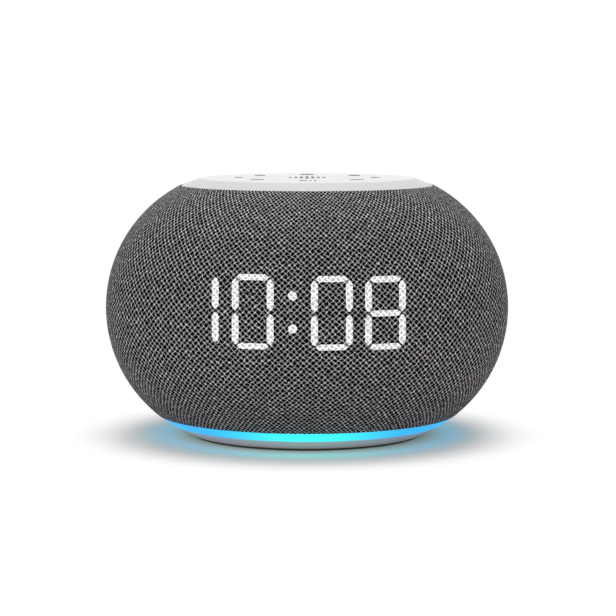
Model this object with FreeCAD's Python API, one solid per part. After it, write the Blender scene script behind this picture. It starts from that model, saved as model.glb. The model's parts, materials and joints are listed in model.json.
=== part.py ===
import FreeCAD, Part
import math
import os

V = FreeCAD.Vector

# All sizes in millimetres and degrees. The origin is on the surface that the clock stands on,
# under its middle. +Z is up and the display faces -Y.

# Drum: round in plan, its side one bulging arc in section. The angles are measured up or down
# from the widest height.
side_radius = 50.9
foot_clear = 1.0
sleeve_top_angle = 63.2
sleeve_low_angle = 50.55
pan_edge_angle = 58.1
pan_foot_angle = 66.85
hidden_bands = 9
skin_arcs = 3

# Allowances that serve many pieces
cut_over = 1.0
seat_gap = 0.1
glue_gap = 0.05
slide_gap = 0.15
board_thickness = 1.6
pilot_clear = 0.05
through_clear = 0.25

# Knitted sleeve and the two moulded shells under it
sleeve_thickness = 1.0
hem_reach = 1.9
shell_wall = 2.4
shell_overlap = 0.6
deck_drop = 3.5
deck_thickness = 2.0
deck_land = 3.0
sill_rise = 3.9
sill_thickness = 2.0
sill_setback = 2.0

# Screws that draw the two shells together, along Y
shell_screw_drop = 17.8
shell_screw_rise = 18.2
shell_screw_inset = 3.6
shell_boss_radius = 4.0
shell_boss_length = 10.0
shell_screw_radius = 1.3
shell_screw_reach = 8.0
shell_screw_head_radius = 2.7
shell_screw_head = 1.8
shell_screw_counterbore = 3.0

# Keys in the plate: eight in a ring and the large one in the middle
ring_key_names = ("plus", "timer", "light", "alarm", "minus", "previous", "play", "next")
talk_radius = 14.5
key_radius = 6.5
key_spacing = 4.4
key_flange = 0.9
key_flange_thickness = 0.8
key_stem_radius = 1.6
key_stem_length = 2.5

# Top cover: a flat plate round the keys with a sloping skirt, seated on the deck of the shells
plate_thickness = 2.0
plate_margin = 7.7
skirt_reach = 7.15
cover_rise = 2.75
cover_edge_gap = 0.3
cover_edge_lift = 0.05
cover_edge_drop = 0.25
cover_round = 8.0
rim_setback = 1.4
rim_thickness = 2.0
rim_height = 1.2
skirt_inner_width = 6.4
skirt_inner_drop = 0.9
cover_boss_radius = 2.6
cover_boss_bite = 0.2
cover_boss_turn = 67.5
cover_screw_radius = 1.1
cover_screw_reach = 5.0
cover_screw_head_radius = 2.3
cover_screw_head = 1.5

# Tactile switches on the key board
switch_width = 6.0
switch_height = 3.5
plunger_radius = 1.75
plunger_stand = 0.8
plunger_depth = 0.6
plunger_bore_depth = 1.4

# Key board and the bosses of the cover that carry it
key_board_margin = 1.1
key_boss_inset = 3.0
key_boss_radius = 2.6
key_boss_turn = 22.5
key_screw_radius = 1.1
key_screw_reach = 5.0
key_screw_head_radius = 2.3
key_screw_head = 1.5

# Display: figures of light pipes in a black barrier that ends flush under the cloth
display_rise = 5.2
display_depth = 22.0
barrier_side_margin = 3.3
barrier_end_margin = 1.9
window_gap = 0.3
tens_x = 8.7
units_pitch = 18.6
hours_pitch = 27.4
half_pitch = 18.9
figure_spacing = 12.1
figure_row = 11.8
upright_stroke = 2.45
level_stroke = 2.25
corner_gap = 0.55
pipe_gap = 0.1
colon_radius = 1.6
colon_rise = 5.65
led_width = 1.6
led_length = 2.0
led_height = 0.8
led_room = 1.6
ear_width = 7.0
ear_half_height = 6.0
ear_thickness = 2.0
ear_screw_inset = 3.7
display_boss_radius = 3.0
display_boss_root = 0.6
display_screw_radius = 1.0
display_screw_reach = 3.2
display_screw_head_radius = 1.9
display_screw_head = 1.3
display_screw_inset = 1.9
display_board_inset = 0.5

# Loudspeaker behind slots in the rear shell, its axis along Y, sized from the coil outwards
speaker_rise = 8.2
speaker_depth = 18.0
coil_outer = 6.1
coil_wall = 0.8
coil_dip = 4.5
coil_rise = 3.0
magnet_gap = 0.5
magnet_radius = 12.0
magnet_thickness = 8.0
magnet_gap_depth = 6.0
basket_wall = 1.2
basket_throat_margin = 1.4
basket_throat_depth = 9.5
basket_depth = 11.5
basket_floor = 1.0
basket_hole_margin = 0.4
basket_window_width = 11.0
basket_window_margin = 1.5
cone_reach = 7.5
cone_lip = 1.2
cone_thickness = 0.5
dome_height = 2.2
dome_bands = 3
roll_setback = 1.3
roll_radius = 1.5
roll_bands = 5
surround_thickness = 0.4
surround_rim_width = 1.4
flange_opening_bite = 0.3
rim_step_depth = 0.5
flange_width = 3.25
flange_thickness = 1.2
gasket_thickness = 0.8
seat_margin = 0.8
seat_inner_bite = 0.55
spider_thickness = 0.3
spider_rise = 1.2
speaker_screw_radius = 1.0
speaker_screw_reach = 4.0
speaker_screw_head_radius = 1.4
speaker_screw_head = 1.2
slot_width = 2.4
slot_count = 7

# Light ring, its circuit board and its light sources
light_ring_depth = 4.0
edge_gap = 0.15
ring_board_rise = 0.4
ring_board_thickness = 1.2
ring_board_setback = 1.1
ring_board_width = 5.4
ring_led_count = 16
ring_led_radial = 2.0
ring_led_width = 3.0
ring_led_height = 1.5
ring_led_inset = 0.2

# Base pan with the posts and pads that rise from its floor
pan_floor = 2.4
pan_lip_depth = 3.7
pan_lip_width = 1.8
pan_wall_lean = 1.0
base_pad_radius = 4.2
base_pad_height = 2.0
base_boss_radius = 3.6
base_boss_rise = 4.0
base_screw_radius = 1.4
base_screw_reach = 8.5
base_screw_head_radius = 2.6
base_screw_head = 1.4
ring_post_inset = 1.8
ring_post_radius = 1.2
ring_post_count = 6

# Foot: a rubber ring glued in a groove, over the base screws
foot_setback = 1.6
foot_width = 7.0
foot_groove = 0.6

# Back-up cell behind a twist-lock door in the middle of the pan
cell_radius = 10.0
cell_thickness = 3.2
cell_gap = 0.25
door_margin = 3.0
door_thickness = 2.0
door_lug_reach = 1.3
door_lug_thickness = 1.0
door_lug_angle = 20.0
door_entry_turn = 40.0
door_slot_margin = 5.5
door_slot_width = 1.8
door_slot_depth = 0.9
door_roof_gap = 0.2
well_wall = 1.9
well_room = 1.7
clip_length = 12.0
clip_width = 6.0
clip_thickness = 0.3

# Main board on posts above the pan and the battery well
main_board_stand = 4.0
main_board_width = 46.0
main_board_margin = 0.8
main_post_inset = 6.0
main_post_radius = 2.8
main_screw_radius = 1.0
main_screw_reach = 6.0
main_screw_head_radius = 2.2
main_screw_head = 1.5
processor_side = 11.0
chip_height = 1.4
voice_memory_length = 8.0
voice_memory_width = 5.0
amplifier_side = 6.0
capacitor_radius = 3.0
capacitor_height = 8.0
capacitor_spacing = 12.0
socket_length = 10.0
socket_width = 4.5
socket_height = 6.0
part_spacing = 3.2
part_row_inset = 5.0

# Power inlet low in the rear, square to the side
jack_drop = 27.8
jack_flange_radius = 6.4
jack_barrel_radius = 4.5
jack_length = 10.5
jack_bore = 2.9
jack_bore_depth = 9.5
jack_pin_radius = 1.05
jack_pin_short = 0.9
nut_seat_depth = 0.6
nut_thickness = 2.2
nut_flats = 12.0

# Plan sizes, from the keys outwards to the widest part of the drum
key_ring = talk_radius + key_spacing + key_radius
plate_radius = key_ring + key_radius + plate_margin
cover_edge_radius = plate_radius + skirt_reach
sleeve_start = -math.radians(sleeve_low_angle)
sleeve_end = math.radians(sleeve_top_angle)
profile_centre = cover_edge_radius + cover_edge_gap - side_radius * math.cos(sleeve_end)
body_radius = profile_centre + side_radius
sleeve_inner = side_radius - sleeve_thickness
shell_outer = sleeve_inner - seat_gap
shell_inner = shell_outer - shell_wall
rim_outer = cover_edge_radius - rim_setback
rim_inner = rim_outer - rim_thickness
skirt_inner_radius = cover_edge_radius - skirt_inner_width
cover_boss_ring = rim_inner - cover_boss_radius + cover_boss_bite
deck_inner = cover_boss_ring - deck_land
key_board_radius = deck_inner - key_board_margin
key_boss_ring = key_board_radius - key_boss_inset

# Heights, from the foot up
pan_foot_turn = -math.radians(pan_foot_angle)
pan_edge_turn = -math.radians(pan_edge_angle)
equator_height = foot_clear - side_radius * math.sin(pan_foot_turn)
sleeve_low = equator_height + side_radius * math.sin(sleeve_start)
sleeve_high = equator_height + side_radius * math.sin(sleeve_end)
pan_top = foot_clear + pan_floor
groove_roof = foot_clear + foot_groove
pan_lip_height = equator_height + (side_radius - pan_lip_depth) * math.sin(pan_edge_turn)
ring_board_height = pan_lip_height + ring_board_rise + ring_led_height
sill_low = sleeve_low + sill_rise
deck_high = sleeve_high - deck_drop
deck_low = deck_high - deck_thickness
cover_top = sleeve_high + cover_rise
cover_edge_height = sleeve_high + cover_edge_lift
plate_under = cover_top - plate_thickness
flange_top = plate_under - seat_gap
flange_low = flange_top - key_flange_thickness
stem_low = flange_low - key_stem_length
plunger_top = stem_low - glue_gap
switch_top = plunger_top - plunger_stand
key_board_top = switch_top - switch_height
display_height = equator_height + display_rise
speaker_height = equator_height + speaker_rise
shell_screw_heights = (equator_height - shell_screw_drop, equator_height + shell_screw_rise)

# Display, from the figures outwards
display_back = body_radius - display_depth
units_x = tens_x + units_pitch
hours_x = tens_x - hours_pitch
half_figure_x = hours_x - half_pitch
colon_x = (tens_x + hours_x) / 2
figure_reach = (figure_spacing + upright_stroke) / 2
barrier_half_width = max(units_x + figure_reach, upright_stroke / 2 - half_figure_x - figure_spacing / 2)
barrier_half_width += barrier_side_margin
barrier_half_height = figure_row + level_stroke / 2 + barrier_end_margin
ear_screw_x = barrier_half_width + ear_screw_inset

# Loudspeaker, from the coil outwards and from its seat inwards
coil_inner = coil_outer - coil_wall
magnet_gap_outer = coil_outer + magnet_gap
magnet_gap_inner = coil_inner - magnet_gap
basket_throat_radius = magnet_radius + basket_throat_margin
basket_hole = magnet_gap_outer + basket_hole_margin
cone_lip_inner = coil_outer + cone_reach
cone_lip_outer = cone_lip_inner + cone_lip
roll_centre = cone_lip_outer + roll_setback
flange_opening = roll_centre + roll_radius - flange_opening_bite
surround_rim = roll_centre + roll_radius + surround_rim_width
rim_step_radius = surround_rim + slide_gap
flange_radius = rim_step_radius + flange_width
speaker_screw_ring = (rim_step_radius + flange_radius) / 2
seat_outer = flange_radius + seat_margin
seat_inner = rim_step_radius - seat_inner_bite
slot_reach = seat_inner - slot_width
slot_pitch = 2 * slot_reach / slot_count
speaker_seat = body_radius - speaker_depth
flange_front = speaker_seat - gasket_thickness
flange_back = flange_front - flange_thickness
step_floor = flange_front - rim_step_depth
throat = flange_back - basket_throat_depth
basket_back = flange_back - basket_depth
surround_low = step_floor + glue_gap
lip_top = surround_low - glue_gap
coil_top = basket_back + coil_rise

# Base, from the foot ring and the battery door outwards
foot_outer = profile_centre + side_radius * math.cos(pan_foot_turn) - foot_setback
foot_inner = foot_outer - foot_width
light_ring_inner = side_radius - light_ring_depth
light_ring_drop = equator_height - sleeve_low
light_ring_reach = math.sqrt(light_ring_inner ** 2 - light_ring_drop ** 2)
ring_board_outer = profile_centre + light_ring_reach - ring_board_setback
ring_board_inner = ring_board_outer - ring_board_width
base_screw_ring = (foot_outer + foot_inner) / 2
sill_inner = base_screw_ring + sill_setback
door_radius = cell_radius + door_margin
door_high = foot_clear + door_thickness
well_floor = door_high + door_roof_gap
well_roof = well_floor + cell_thickness + well_room
main_board_height = well_roof + well_wall + main_board_stand
main_board_length = 2 * math.sqrt((sill_inner - main_board_margin) ** 2 - (main_board_width / 2) ** 2)
main_post_x = main_board_length / 2 - main_post_inset
main_post_y = main_board_width / 2 - main_post_inset
part_pitch = main_post_x - main_screw_head_radius - part_spacing - socket_length / 2
jack_turn = -math.asin(jack_drop / side_radius)

centre = V(0, 0, 0)
up = V(0, 0, 1)
rearward = V(0, 1, 0)


# Basic forms

def on_side(radius, angle):
    """The point of the drum's section at this distance and angle from the centre of the bulge."""
    return V(profile_centre + radius * math.cos(angle), 0, equator_height + radius * math.sin(angle))


def side_reach(radius, height):
    """How far from the upright axis the section stands at a height."""
    return profile_centre + math.sqrt(radius ** 2 - (height - equator_height) ** 2)


def side_arc(radius, start, end):
    middle = (start + end) / 2
    return Part.Arc(on_side(radius, start), on_side(radius, middle), on_side(radius, end)).toShape()


def bend(x, z, radius, start, end, steps):
    """Points along a round bend of the section, from one angle to another."""
    turns = [start + (end - start) * i / steps for i in range(steps + 1)]
    return [V(x + radius * math.cos(turn), 0, z + radius * math.sin(turn)) for turn in turns]


def banded(radius, start, end):
    """Points of a curved wall made of equal flat bands."""
    steps = [start + (end - start) * i / hidden_bands for i in range(hidden_bands + 1)]
    return [on_side(radius, step) for step in steps]


def joined(points):
    return [Part.makeLine(a, b) for a, b in zip(points, points[1:])]


def turned(edges):
    """A solid turned about the upright axis from the closed outline of its section."""
    face = Part.Face(Part.Wire(edges))
    return face.revolve(centre, up, 360)


def turned_points(pairs):
    points = [V(r, 0, z) for r, z in pairs]
    return turned(joined(points + points[:1]))


def rod(radius, low, high, x=0, y=0):
    return Part.makeCylinder(radius, high - low, V(x, y, low))


def tube(outer, inner, low, high):
    return turned_points([(inner, low), (outer, low), (outer, high), (inner, high)])


def block(x, y, z):
    """A box between two limits along each axis."""
    return Part.makeBox(x[1] - x[0], y[1] - y[0], z[1] - z[0], V(x[0], y[0], z[0]))


def middle_block(length, width, low, high, x=0, y=0):
    half_length = length / 2
    half_width = width / 2
    return block((x - half_length, x + half_length), (y - half_width, y + half_width), (low, high))


def around(shape, count, first=0):
    """Copies of a shape at even turns about the upright axis."""
    copies = []
    for i in range(count):
        copy = shape.copy()
        copy.rotate(centre, up, first + 360 * i / count)
        copies.append(copy)
    return copies


def polar(radius, angle):
    return radius * math.cos(math.radians(angle)), radius * math.sin(math.radians(angle))


def toward_rear(shape, height):
    """Turns a form made about the upright axis so that its axis runs along +Y at a height."""
    shape.rotate(centre, V(1, 0, 0), -90)
    shape.translate(V(0, 0, height))
    return shape


def screw(head_radius, head, shank_radius, reach):
    """A screw that points up, with the underside of its head at zero."""
    return rod(head_radius, -head, 0).fuse(rod(shank_radius, 0, reach)).removeSplitter()


def moved(shape, x, y, z):
    shape.translate(V(x, y, z))
    return shape


def save(name, *shapes):
    solids = [solid for shape in shapes for solid in shape.Solids]
    body = solids[0] if len(solids) == 1 else Part.makeCompound(solids)
    body.exportStep("parts/" + name + ".step")
    return body


# Knitted sleeve and shells

hem_turn = sleeve_thickness / sleeve_inner
shell_start = sleeve_start + hem_turn + seat_gap / shell_outer
shell_end = sleeve_end - hem_turn - seat_gap / shell_outer
jack_axis = V(0, math.cos(jack_turn), math.sin(jack_turn))


def jack_rod(radius, start, end):
    """A rod square to the side at the inlet, between two distances from the centre of the bulge."""
    foot = V(0, profile_centre, equator_height) + jack_axis * start
    return Part.makeCylinder(radius, end - start, foot, jack_axis)


def fabric_sleeve():
    """The sleeve covers the side in one piece, with a hem turned in over both edges of the shells."""
    hem = sleeve_inner - hem_reach
    inner = banded(sleeve_inner, sleeve_end - hem_turn, sleeve_start + hem_turn)
    path = [on_side(side_radius, sleeve_end), on_side(hem, sleeve_end), on_side(hem, sleeve_end - hem_turn)]
    path += inner
    path += [on_side(hem, sleeve_start + hem_turn), on_side(hem, sleeve_start),
             on_side(side_radius, sleeve_start)]
    stations = [sleeve_start + (sleeve_end - sleeve_start) * i / skin_arcs for i in range(skin_arcs + 1)]
    skin = [side_arc(side_radius, a, b) for a, b in zip(stations, stations[1:])]
    body = turned(skin + joined(path))
    return body.cut(jack_rod(jack_flange_radius + slide_gap, shell_inner, side_radius + cut_over))


def drum():
    """The full solid inside the shells' outer face."""
    wall = banded(shell_outer, shell_start, shell_end)
    return turned(joined([V(0, 0, wall[0].z)] + wall + [V(0, 0, wall[-1].z), V(0, 0, wall[0].z)]))


def shell_ring():
    """Both shells in one: the curved wall, the deck under the cover and the sill above the pan."""
    path = banded(shell_outer, shell_start, shell_end) + banded(shell_inner, shell_end, shell_start)
    wall = turned(joined(path + path[:1]))
    deck = tube(side_reach(shell_inner, deck_low) + shell_overlap, deck_inner, deck_low, deck_high)
    sill_high = sill_low + sill_thickness
    sill = tube(side_reach(shell_inner, sill_high) + shell_overlap, sill_inner, sill_low, sill_high)
    holes = [rod(cover_screw_radius + through_clear, deck_low - cut_over, deck_high + cut_over, *place)
             for place in cover_screw_places()]
    return wall.fuse([deck, sill]).cut(holes)


def cover_screw_places():
    return [polar(cover_boss_ring, cover_boss_turn + 90 * i) for i in range(4)]


def base_screw_places():
    return [polar(base_screw_ring, 45 + 90 * i) for i in range(4)]


def base_bosses(places):
    """Round bosses of the sill that the base screws enter from below."""
    low = pan_top + base_pad_height
    high = sill_low + sill_thickness + base_boss_rise
    bosses = [rod(base_boss_radius, low, high, *place) for place in places]
    bores = [rod(base_screw_radius + pilot_clear, low - cut_over, low + base_screw_reach + cut_over, *place)
             for place in places]
    return bosses, bores


def shell_screw_x(height):
    return side_reach(shell_inner, height) - shell_screw_inset


def shell_screw_places():
    return [(side * shell_screw_x(z), z) for z in shell_screw_heights for side in (-1, 1)]


def along_y(radius, start, end, x, z):
    return Part.makeCylinder(radius, end - start, V(x, start, z), rearward)


def front_shell(ring):
    reach = body_radius + cut_over
    body = ring.common(block((-reach, reach), (-reach, 0), (0, cover_top)))
    inside = drum()
    adds = []
    cuts = []
    for x, z in shell_screw_places():
        adds.append(along_y(shell_boss_radius, -shell_boss_length, 0, x, z))
        cuts.append(along_y(shell_screw_radius + pilot_clear, -shell_screw_reach - pilot_clear, 0, x, z))
    bosses, bores = base_bosses([place for place in base_screw_places() if place[1] < 0])
    adds += bosses
    cuts += bores
    wall_reach = side_reach(shell_inner, display_height)
    boss_end = -math.sqrt(wall_reach ** 2 - ear_screw_x ** 2) - display_boss_root
    bore_end = -display_back - display_screw_reach - pilot_clear
    bore = display_screw_radius + pilot_clear
    for side in (-1, 1):
        x = side * ear_screw_x
        adds.append(along_y(display_boss_radius, boss_end, -display_back, x, display_height))
        cuts.append(along_y(bore, bore_end, -display_back, x, display_height))
    half_width = barrier_half_width + window_gap
    half_height = barrier_half_height + window_gap
    heights = (display_height - half_height, display_height + half_height)
    cuts.append(block((-half_width, half_width), (-reach, -display_back + ear_thickness), heights))
    adds = [add.common(inside) for add in adds]
    return body.fuse(adds).cut(cuts).removeSplitter()


def rear_shell(ring):
    reach = body_radius + cut_over
    body = ring.common(block((-reach, reach), (0, reach), (0, cover_top)))
    inside = drum()
    adds = []
    cuts = []
    for x, z in shell_screw_places():
        adds.append(along_y(shell_boss_radius, 0, shell_boss_length, x, z))
        cuts.append(along_y(shell_screw_radius + through_clear, -cut_over, shell_boss_length, x, z))
        head = shell_boss_length - shell_screw_head
        cuts.append(along_y(shell_screw_counterbore, head, body_radius, x, z))
    bosses, bores = base_bosses([place for place in base_screw_places() if place[1] > 0])
    adds += bosses
    cuts += bores
    seat = toward_rear(tube(seat_outer, seat_inner, speaker_seat, body_radius), speaker_height)
    adds.append(seat)
    bore = speaker_screw_radius + pilot_clear
    for x, z in speaker_screw_places():
        end = speaker_seat + speaker_screw_reach
        cuts.append(along_y(bore, speaker_seat - cut_over, end, x, speaker_height + z))
    for i in range(slot_count):
        x = (i - (slot_count - 1) / 2) * slot_pitch
        half = math.sqrt(slot_reach ** 2 - x ** 2)
        cuts.append(block((x - slot_width / 2, x + slot_width / 2), (speaker_seat, reach),
                          (speaker_height - half, speaker_height + half)))
    adds = [add.common(inside) for add in adds]
    nut_seat = shell_inner - nut_seat_depth
    cuts.append(jack_rod(jack_barrel_radius + seat_gap, nut_seat - cut_over, side_radius))
    nut_room = nut_flats / math.sqrt(3) + window_gap
    cuts.append(jack_rod(nut_room, nut_seat - nut_thickness - cut_over, nut_seat))
    return body.fuse(adds).cut(cuts).removeSplitter()


def shell_screws():
    screws = []
    for x, z in shell_screw_places():
        one = screw(shell_screw_head_radius, shell_screw_head, shell_screw_radius,
                    shell_boss_length - shell_screw_head + shell_screw_reach)
        one.rotate(centre, V(1, 0, 0), 90)
        screws.append(moved(one, x, shell_boss_length - shell_screw_head, z))
    return screws


# Top cover and its keys

def key_places():
    """Name, radius and place of each key; the large one is in the middle."""
    places = [("talk", talk_radius, 0, 0)]
    for i, name in enumerate(ring_key_names):
        x, y = polar(key_ring, 360 * i / len(ring_key_names))
        places.append((name, key_radius, x, y))
    return places


def key_screw_places():
    return [polar(key_boss_ring, key_boss_turn + 90 * i) for i in range(4)]


def top_cover():
    rim_top = deck_high + rim_height
    body = turned_points([
        (0, cover_top), (plate_radius, cover_top), (cover_edge_radius, cover_edge_height),
        (cover_edge_radius, cover_edge_height - cover_edge_drop), (rim_outer, rim_top),
        (rim_outer, deck_high), (rim_inner, deck_high), (rim_inner, plate_under - skirt_inner_drop),
        (skirt_inner_radius, plate_under), (0, plate_under)])
    edge = [e for e in body.Edges if abs(e.BoundBox.ZMin - cover_top) < glue_gap and e.Length > plate_radius]
    body = body.makeFillet(cover_round, edge)
    root = plate_under + glue_gap
    adds = [rod(key_boss_radius, key_board_top, root, *place) for place in key_screw_places()]
    adds += [rod(cover_boss_radius, deck_high, root, *place) for place in cover_screw_places()]
    cuts = [rod(radius + slide_gap, plate_under - cut_over, cover_top + cut_over, x, y)
            for name, radius, x, y in key_places()]
    bore = key_screw_radius + pilot_clear
    bore_end = key_board_top + key_screw_reach
    cuts += [rod(bore, key_board_top - cut_over, bore_end, *place) for place in key_screw_places()]
    bore = cover_screw_radius + pilot_clear
    bore_end = deck_low + cover_screw_reach + glue_gap
    cuts += [rod(bore, deck_high - cut_over, bore_end, *place) for place in cover_screw_places()]
    return body.fuse(adds).cut(cuts).removeSplitter()


def cover_screws():
    return [moved(screw(cover_screw_head_radius, cover_screw_head, cover_screw_radius, cover_screw_reach),
                  x, y, deck_low) for x, y in cover_screw_places()]


def key(radius, x, y):
    """A key flush with the plate, kept in by the flange under it, with a stem for its switch."""
    cap = rod(radius, flange_low, cover_top, x, y)
    flange = rod(radius + key_flange, flange_low, flange_top, x, y)
    stem = rod(key_stem_radius, stem_low, flange_low, x, y)
    return cap.fuse([flange, stem]).removeSplitter()


def plunger(x, y):
    return rod(plunger_radius, switch_top - plunger_depth, plunger_top, x, y)


def switch_body(x, y):
    body = middle_block(switch_width, switch_width, key_board_top, switch_top, x, y)
    bore_low = switch_top - plunger_bore_depth
    return body.cut(rod(plunger_radius + seat_gap, bore_low, switch_top + cut_over, x, y))


def key_board():
    low = key_board_top - board_thickness
    holes = [rod(key_screw_radius + through_clear, low - cut_over, key_board_top + cut_over, *place)
             for place in key_screw_places()]
    return rod(key_board_radius, low, key_board_top).cut(holes)


def key_board_screws():
    reach = board_thickness + key_screw_reach - glue_gap
    return [moved(screw(key_screw_head_radius, key_screw_head, key_screw_radius, reach),
                  x, y, key_board_top - board_thickness) for x, y in key_screw_places()]


# Display

def pointed_bar(x, z, length, stroke, level, grow=0):
    """The outline of one bar of a figure, a long hexagon, carried along Y through the whole barrier."""
    half = length / 2 + grow
    wide = stroke / 2 + grow
    corners = [(-half, 0), (wide - half, wide), (half - wide, wide), (half, 0), (half - wide, -wide),
               (wide - half, -wide)]
    if not level:
        corners = [(across, along) for along, across in corners]
    points = [V(x + a, -body_radius, z + b) for a, b in corners]
    face = Part.Face(Part.Wire(joined(points + points[:1])))
    return face.extrude(V(0, body_radius, 0))


def bar_places(x):
    """The seven bars of a figure: name of the run, place and direction of each."""
    left = x - figure_spacing / 2
    right = x + figure_spacing / 2
    low = display_height - figure_row / 2
    high = display_height + figure_row / 2
    level = [(x, display_height + row * figure_row, True) for row in (-1, 0, 1)]
    upright = [(side, z, False) for side in (left, right) for z in (low, high)]
    return level + upright


def figure_bars(x, grow=0, only_right=False):
    bars = []
    for bar_x, z, level in bar_places(x):
        if only_right and (level or bar_x < x):
            continue
        length = (figure_spacing if level else figure_row) - 2 * corner_gap
        bars.append(pointed_bar(bar_x, z, length, level_stroke if level else upright_stroke, level, grow))
    return bars


def colon_pair(grow=0):
    return [along_y(colon_radius + grow, -body_radius, 0, colon_x, display_height + side * colon_rise)
            for side in (-1, 1)]


def all_bars(grow=0):
    bars = figure_bars(half_figure_x, grow, only_right=True)
    for x in (hours_x, tens_x, units_x):
        bars += figure_bars(x, grow)
    return bars + colon_pair(grow)


def figure_sizes():
    """Names, bars and order of the light pipes."""
    return [("digit_half", figure_bars(half_figure_x, only_right=True)),
            ("digit_hours", figure_bars(hours_x)), ("colon_dots", colon_pair()),
            ("digit_tens", figure_bars(tens_x)), ("digit_units", figure_bars(units_x))]


def display_screw_places():
    """Four at the corners of the display board and two through the ears of the barrier."""
    x = barrier_half_width - display_screw_inset
    z = barrier_half_height - display_screw_inset
    return [(a * x, display_height + b * z) for a in (-1, 1) for b in (-1, 1)]


def barrier_blank():
    heights = (display_height - barrier_half_height, display_height + barrier_half_height)
    front = block((-barrier_half_width, barrier_half_width), (-body_radius, -display_back), heights)
    return drum().common(front)


def light_barrier():
    """The barrier keeps the light of each bar apart; its channels end under the cloth."""
    body = barrier_blank()
    ears = []
    for side in (-1, 1):
        x = sorted((side * (barrier_half_width - ear_thickness), side * (barrier_half_width + ear_width)))
        heights = (display_height - ear_half_height, display_height + ear_half_height)
        ears.append(block(x, (-display_back, -display_back + ear_thickness), heights))
        root = sorted((side * (barrier_half_width - ear_thickness), side * barrier_half_width))
        ears.append(block(root, (-display_back - ear_thickness, -display_back), heights))
    cuts = all_bars(pipe_gap)
    hole = display_screw_radius + through_clear
    for side in (-1, 1):
        cuts.append(along_y(hole, -body_radius, 0, side * ear_screw_x, display_height))
    bore = display_screw_radius + pilot_clear
    bore_end = -display_back - display_screw_reach - glue_gap
    for x, z in display_screw_places():
        cuts.append(along_y(bore, bore_end, -display_back + cut_over, x, z))
    return body.fuse(ears).cut(cuts)


def light_pipes(bars):
    """Clear pipes with the outline of each bar, from just above its light source to the front face."""
    heights = (display_height - barrier_half_height, display_height + barrier_half_height)
    depths = (-body_radius, -display_back - led_room)
    room = block((-barrier_half_width, barrier_half_width), depths, heights)
    blank = drum().common(room)
    return [bar.common(blank) for bar in bars]


def display_board():
    half_width = barrier_half_width - display_board_inset
    half_height = barrier_half_height - display_board_inset
    heights = (display_height - half_height, display_height + half_height)
    body = block((-half_width, half_width), (-display_back, -display_back + board_thickness), heights)
    ear_room = barrier_half_width - ear_thickness - display_board_inset
    ear_reach = ear_half_height + display_board_inset
    ears = []
    for side in (-1, 1):
        x = sorted((side * ear_room, side * barrier_half_width))
        z = (display_height - ear_reach, display_height + ear_reach)
        ears.append(block(x, (-display_back - cut_over, -display_back + ear_thickness), z))
    holes = [along_y(display_screw_radius + through_clear, -display_back - cut_over, 0, x, z)
             for x, z in display_screw_places()]
    return body.cut(ears + holes)


def display_leds():
    """One light source under each bar and dot."""
    places = []
    for x, z, level in bar_places(half_figure_x):
        if not level and x > half_figure_x:
            places.append((x, z, level))
    for figure in (hours_x, tens_x, units_x):
        places += bar_places(figure)
    places += [(colon_x, display_height + side * colon_rise, True) for side in (-1, 1)]
    leds = []
    for x, z, level in places:
        wide, tall = (led_length, led_width) if level else (led_width, led_length)
        leds.append(block((x - wide / 2, x + wide / 2), (-display_back - led_height, -display_back),
                          (z - tall / 2, z + tall / 2)))
    return leds


def display_screws():
    places = [(x, z, board_thickness) for x, z in display_screw_places()]
    places += [(side * ear_screw_x, display_height, ear_thickness) for side in (-1, 1)]
    screws = []
    for x, z, held in places:
        reach = held + display_screw_reach
        one = screw(display_screw_head_radius, display_screw_head, display_screw_radius, reach)
        one.rotate(centre, V(1, 0, 0), 90)
        screws.append(moved(one, x, -display_back + held, z))
    return screws


# Loudspeaker, made about the upright axis and then turned to face the rear

def speaker_screw_places():
    return [polar(speaker_screw_ring, 45 + 90 * i) for i in range(4)]


def speaker_basket():
    wall_top = flange_opening + basket_wall
    body = turned_points([
        (flange_opening, flange_back), (flange_radius, flange_back), (flange_radius, flange_front),
        (rim_step_radius, flange_front), (rim_step_radius, step_floor), (flange_opening, step_floor)])
    bowl = turned_points([
        (wall_top, flange_back), (basket_throat_radius, throat), (basket_throat_radius, basket_back),
        (basket_hole, basket_back), (basket_hole, basket_back + basket_floor),
        (basket_throat_radius - basket_wall, basket_back + basket_floor),
        (basket_throat_radius - basket_wall, throat), (flange_opening, flange_back + glue_gap),
        (wall_top, flange_back + glue_gap)])
    window = block((basket_throat_radius - basket_wall - cut_over, flange_radius + cut_over),
                   (-basket_window_width / 2, basket_window_width / 2),
                   (throat + basket_window_margin, flange_back - basket_window_margin))
    hole = speaker_screw_radius + through_clear
    holes = [rod(hole, flange_back - cut_over, flange_front + cut_over, *place)
             for place in speaker_screw_places()]
    return body.fuse(bowl).cut(around(window, 4) + holes).removeSplitter()


def speaker_magnet():
    """Magnet, plates and pole in one, with the ring gap for the coil."""
    low = basket_back - magnet_thickness
    gap_low = basket_back - magnet_gap_depth
    return turned_points([
        (0, low), (magnet_radius, low), (magnet_radius, basket_back), (magnet_gap_outer, basket_back),
        (magnet_gap_outer, gap_low), (magnet_gap_inner, gap_low), (magnet_gap_inner, basket_back),
        (0, basket_back)])


def voice_coil():
    return tube(coil_outer, coil_inner, basket_back - coil_dip, coil_top)


def speaker_cone():
    neck = coil_outer + glue_gap
    return turned_points([
        (neck, coil_top - cone_thickness), (cone_lip_inner, lip_top - cone_thickness),
        (cone_lip_outer, lip_top - cone_thickness), (cone_lip_outer, lip_top), (cone_lip_inner, lip_top),
        (neck, coil_top + cone_thickness)])


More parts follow.
